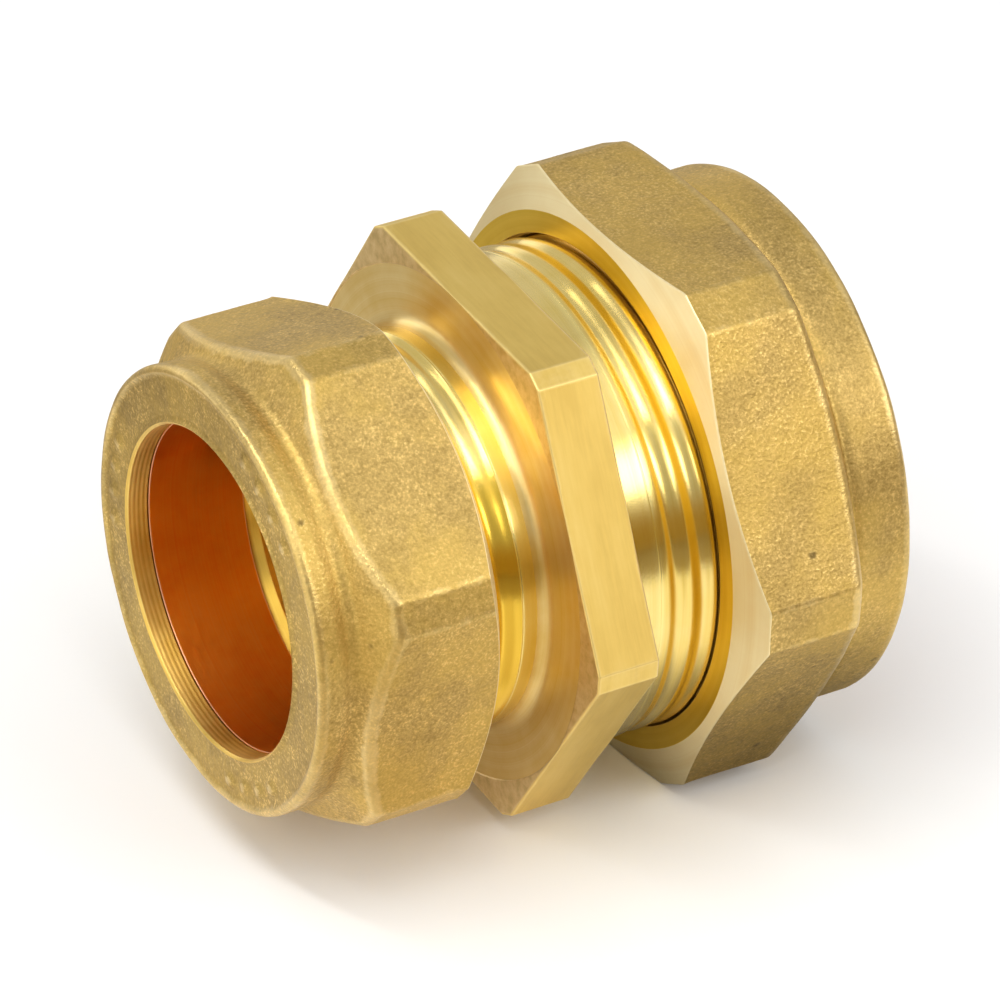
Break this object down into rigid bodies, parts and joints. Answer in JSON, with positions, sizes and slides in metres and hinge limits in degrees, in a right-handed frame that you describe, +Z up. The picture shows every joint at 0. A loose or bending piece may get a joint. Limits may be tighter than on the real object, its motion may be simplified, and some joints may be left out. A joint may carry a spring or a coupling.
{
  "type": "compression fitting",
  "caption": "Straight reducing compression coupler in brass that joins copper pipe of two sizes, each held by a screwed nut and a copper olive.",
  "frame": {"origin": "on the surface that the fitting lies on, under the middle of its length and of its width", "axes": "+X along the pipe axis from the 22 mm end to the 28 mm end, +Z up, away from the flat of the larger nut that it lies on"},
  "size_m": [0.042, 0.0422, 0.038],
  "materials": {
    "turned_brass": "machined, bright",
    "forged_brass": "hot forged, shot blasted, satin",
    "copper": "copper, drawn and turned"
  },
  "bodies": {
    "coupling_body": {"coupling_body": "turned_brass"},
    "olive_22": {"olive_22": "copper"},
    "nut_22": {"nut_22": "forged_brass"},
    "olive_28": {"olive_28": "copper"},
    "nut_28": {"nut_28": "forged_brass"}
  },
  "joints": [
    {"name": "nut_22_advance", "type": "slide", "parent": "coupling_body", "child": "olive_22", "axis": [1, 0, 0], "range_m": [-0.00526, 0.00038]},
    {"name": "nut_22_turn", "type": "hinge", "parent": "olive_22", "child": "nut_22", "pos_m": [-0.021, 0, 0.019], "axis": [1, 0, 0], "range_deg": [-1260, 90]},
    {"name": "nut_28_advance", "type": "slide", "parent": "coupling_body", "child": "olive_28", "axis": [-1, 0, 0], "range_m": [-0.00545, 0.00046]},
    {"name": "nut_28_turn", "type": "hinge", "parent": "olive_28", "child": "nut_28", "pos_m": [0.021, 0, 0.019], "axis": [-1, 0, 0], "range_deg": [-1080, 90]}
  ],
  "couplings": [
    {"joint": "nut_22_advance", "follows": "nut_22_turn", "m_per_rad": 0.00023873},
    {"joint": "nut_28_advance", "follows": "nut_28_turn", "m_per_rad": 0.00028871}
  ]
}
